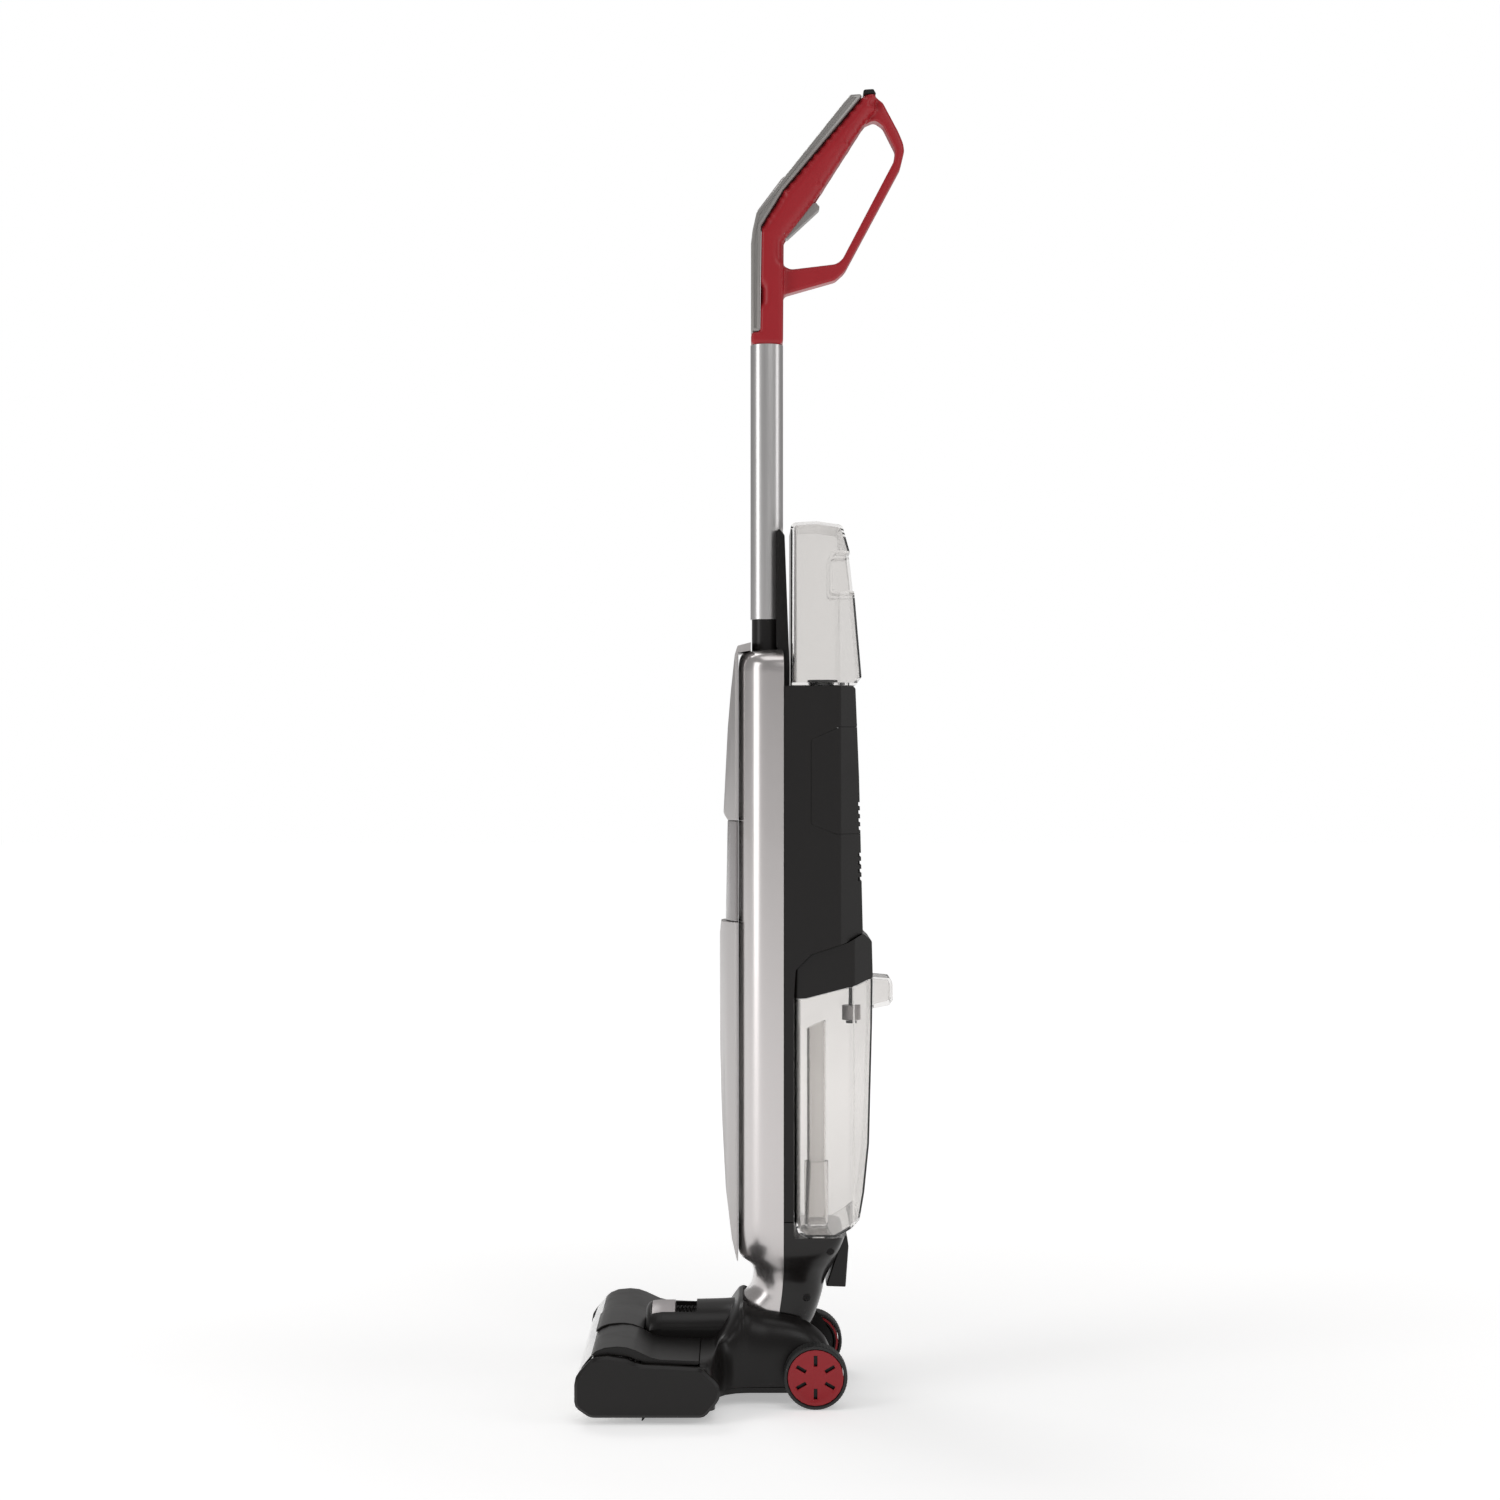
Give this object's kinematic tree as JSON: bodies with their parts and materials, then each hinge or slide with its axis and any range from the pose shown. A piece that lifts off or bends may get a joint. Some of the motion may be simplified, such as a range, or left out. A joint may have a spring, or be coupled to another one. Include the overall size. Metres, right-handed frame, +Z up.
{
  "type": "wet dry floor scrubber",
  "caption": "Upright cordless floor washer: low roller head on two wheels, slim bright body with clear clean and dirty water tanks, oval tube and looped handle.",
  "frame": {"origin": "on the floor, at the middle of the bounding box", "axes": "+Z up; the brush head is at the front, -Y; the tanks and the handle loop are at the rear, +Y; +X is the user's left"},
  "size_m": [0.285, 0.284, 1.1497],
  "materials": {
    "silver_lacquer": "bright warm silver lacquer, nearly mirror-like at the neck",
    "panel_grey": "light grey satin",
    "insert_grey": "smoky grey, smooth",
    "black_plastic": "semi-gloss black",
    "black_rubber": "matt black",
    "tyre_rubber": "matt black",
    "red_plastic": "deep red, semi-gloss",
    "trim_grey": "warm grey satin",
    "clear_plastic": "clear, slightly smoky",
    "satin_aluminium": "satin, drawn along its length",
    "steel": "plain",
    "button_grey": "light grey satin",
    "circuit_board": "green solder mask",
    "filter_foam": "open-cell foam",
    "white_pile": "short soft pile"
  },
  "bodies": {
    "head": {"head_base": "black_plastic", "head_upper_shell": "black_plastic", "end_cap_left": "black_plastic", "end_cap_right": "black_plastic", "squeegee_blade": "black_rubber", "suction_hose": "black_rubber", "brush_motor": "steel", "drive_belt": "black_rubber", "spray_bar": "black_plastic", "axle_left": "steel", "axle_right": "steel", "pivot_pin_left": "steel", "pivot_pin_right": "steel", "latch_spring": "steel"},
    "brush_cover": {"brush_cover": "black_plastic", "brush_window": "clear_plastic"},
    "latch": {"latch_button": "button_grey"},
    "roller": {"roller_core": "button_grey", "roller_sleeve": "white_pile"},
    "motor_pulley": {"motor_pulley": "steel"},
    "wheel_left": {"wheel_hub_left": "red_plastic", "tyre_left": "tyre_rubber"},
    "wheel_right": {"wheel_hub_right": "red_plastic", "tyre_right": "tyre_rubber"},
    "upright": {"front_shell": "silver_lacquer", "rear_shell": "black_plastic", "neck_shell": "black_plastic", "front_panel_upper": "panel_grey", "panel_insert": "insert_grey", "front_panel_lower": "panel_grey", "tank_cradle": "black_plastic", "handle_tube": "satin_aluminium", "handle_shell_left": "red_plastic", "handle_shell_right": "red_plastic", "handle_trim": "trim_grey", "handle_end_cap": "black_plastic", "trigger_pin": "steel", "vacuum_motor": "steel", "fan_housing": "black_plastic", "water_pump": "steel", "water_tube": "clear_plastic", "control_board": "circuit_board", "charging_shroud": "black_plastic", "neck_duct": "black_plastic", "neck_screw_upper": "steel", "neck_screw_lower": "steel"},
    "trigger": {"trigger": "trim_grey"},
    "mode_button": {"mode_button": "button_grey"},
    "impeller": {"impeller": "button_grey"},
    "battery": {"battery_hatch": "black_plastic", "battery_case": "black_plastic"},
    "clean_tank": {"clean_tank": "clear_plastic"},
    "clean_tank_cap": {"clean_tank_cap": "black_plastic"},
    "dirty_tank": {"dirty_tank": "clear_plastic", "dirty_tank_lid": "black_plastic", "standpipe": "clear_plastic", "tank_filter": "filter_foam"},
    "float": {"float": "button_grey"},
    "tank_release": {"tank_release": "button_grey"}
  },
  "joints": [
    {"name": "recline", "type": "hinge", "parent": "head", "child": "upright", "pos_m": [0, 0.045, 0.038], "axis": [-1, 0, 0], "range_deg": [0, 70], "deforming": ["suction_hose"]},
    {"name": "brush_cover_lift", "type": "slide", "parent": "head", "child": "brush_cover", "axis": [0, 0, 1], "range_m": [0, 0.06]},
    {"name": "latch_slide", "type": "slide", "parent": "head", "child": "latch", "axis": [0, 1, 0], "range_m": [0, 0.01], "stiffness_N_per_m": 120, "springref_m": -0.004, "deforming": ["latch_spring"]},
    {"name": "roller_spin", "type": "hinge", "parent": "head", "child": "roller", "pos_m": [0, -0.107, 0.026], "axis": [1, 0, 0], "continuous": true},
    {"name": "motor_pulley_spin", "type": "hinge", "parent": "head", "child": "motor_pulley", "pos_m": [0, -0.05, 0.0305], "axis": [1, 0, 0], "continuous": true},
    {"name": "wheel_left_spin", "type": "hinge", "parent": "head", "child": "wheel_left", "pos_m": [0.077, 0.06175, 0.0275], "axis": [1, 0, 0], "continuous": true},
    {"name": "wheel_right_spin", "type": "hinge", "parent": "head", "child": "wheel_right", "pos_m": [-0.077, 0.06175, 0.0275], "axis": [1, 0, 0], "continuous": true},
    {"name": "trigger_pull", "type": "hinge", "parent": "upright", "child": "trigger", "pos_m": [0, 0.035, 1.0222], "axis": [1, 0, 0], "range_deg": [0, 9], "stiffness_Nm_per_rad": 0.5, "springref_deg": -11.46},
    {"name": "mode_button_press", "type": "slide", "parent": "upright", "child": "mode_button", "axis": [0, 0.7901, -0.613], "range_m": [0, 0.0012], "stiffness_N_per_m": 400, "springref_m": -0.001},
    {"name": "impeller_spin", "type": "hinge", "parent": "upright", "child": "impeller", "pos_m": [0, 0.072, 0.43], "axis": [0, 0, 1], "continuous": true},
    {"name": "battery_slide", "type": "slide", "parent": "upright", "child": "battery", "axis": [0, 1, 0], "range_m": [0, 0.08]},
    {"name": "clean_tank_lift", "type": "slide", "parent": "upright", "child": "clean_tank", "axis": [0, 0, 1], "range_m": [0, 0.12]},
    {"name": "clean_tank_cap_turn", "type": "hinge", "parent": "clean_tank", "child": "clean_tank_cap", "pos_m": [0, 0.07, 0.62], "axis": [0, 0, 1], "range_deg": [0, 90]},
    {"name": "dirty_tank_pull", "type": "slide", "parent": "upright", "child": "dirty_tank", "axis": [0, 1, 0], "range_m": [0, 0.15]},
    {"name": "float_rise", "type": "slide", "parent": "dirty_tank", "child": "float", "axis": [0, 0, 1], "range_m": [0, 0.015]},
    {"name": "tank_release_press", "type": "slide", "parent": "dirty_tank", "child": "tank_release", "axis": [0, -1, 0], "range_m": [0, 0.003], "stiffness_N_per_m": 300, "springref_m": -0.003}
  ],
  "couplings": [
    {"joint": "motor_pulley_spin", "follows": "roller_spin", "ratio": 1.5}
  ]
}
